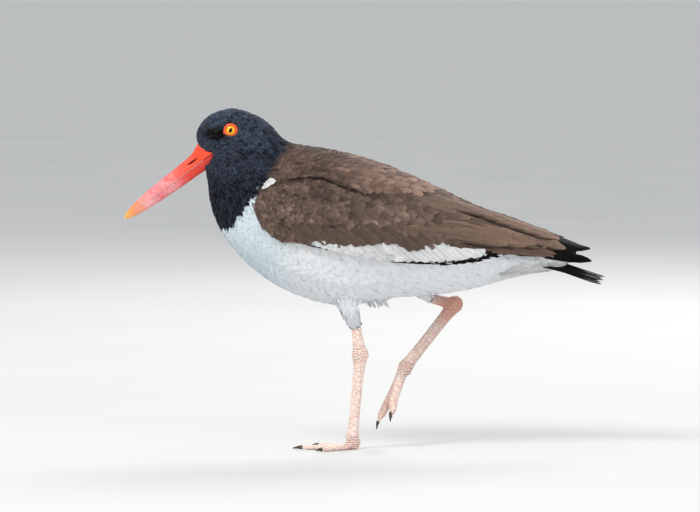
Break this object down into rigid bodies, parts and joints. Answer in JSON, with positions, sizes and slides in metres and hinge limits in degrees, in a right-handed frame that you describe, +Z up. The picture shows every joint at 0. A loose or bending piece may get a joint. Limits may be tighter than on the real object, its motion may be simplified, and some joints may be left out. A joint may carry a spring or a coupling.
{
  "type": "american oystercatcher",
  "caption": "Life-size still model of an oystercatcher in mid-step, standing on its left leg with the right leg lifted behind, long red bill pointing down.",
  "frame": {"origin": "on the floor, under the middle of the overall box", "axes": "+Z up, the bird faces -X, its left side is -Y"},
  "size_m": [0.3788, 0.1074, 0.2707],
  "materials": {
    "black_plumage": "soft matt blue-black feathers over flesh",
    "white_plumage": "soft matt white feathers over flesh",
    "white_feathers": "soft matt white feathers",
    "brown_feathers": "matt grey-brown feathers with a slight sheen",
    "dark_quills": "smooth blackish flight feathers with a slight sheen",
    "bill_horn": "smooth orange-red horn, worn and yellower at the tip",
    "eye": "wet glossy eye with a yellow iris, black pupil and orange-red ring",
    "leg_skin": "dull pale pink scaly skin",
    "claw_horn": "dull blackish horn"
  },
  "bodies": {
    "root": {"head": "black_plumage", "neck": "black_plumage", "trunk": "white_plumage", "tail_coverts": "white_feathers", "mantle": "brown_feathers", "wing_left": "brown_feathers", "wing_right": "brown_feathers", "wing_tip_left": "dark_quills", "wing_tip_right": "dark_quills", "tail": "dark_quills", "bill_upper": "bill_horn", "bill_lower": "bill_horn", "eye_left": "eye", "eye_right": "eye", "thigh_left": "white_plumage", "shin_left": "leg_skin", "tarsus_left": "leg_skin", "toe_inner_left": "leg_skin", "toe_middle_left": "leg_skin", "toe_outer_left": "leg_skin", "claw_inner_left": "claw_horn", "claw_middle_left": "claw_horn", "claw_outer_left": "claw_horn", "thigh_right": "white_plumage", "shin_right": "leg_skin", "tarsus_right": "leg_skin", "toe_inner_right": "leg_skin", "toe_middle_right": "leg_skin", "toe_outer_right": "leg_skin", "claw_inner_right": "claw_horn", "claw_middle_right": "claw_horn", "claw_outer_right": "claw_horn"}
  },
  "joints": []
}
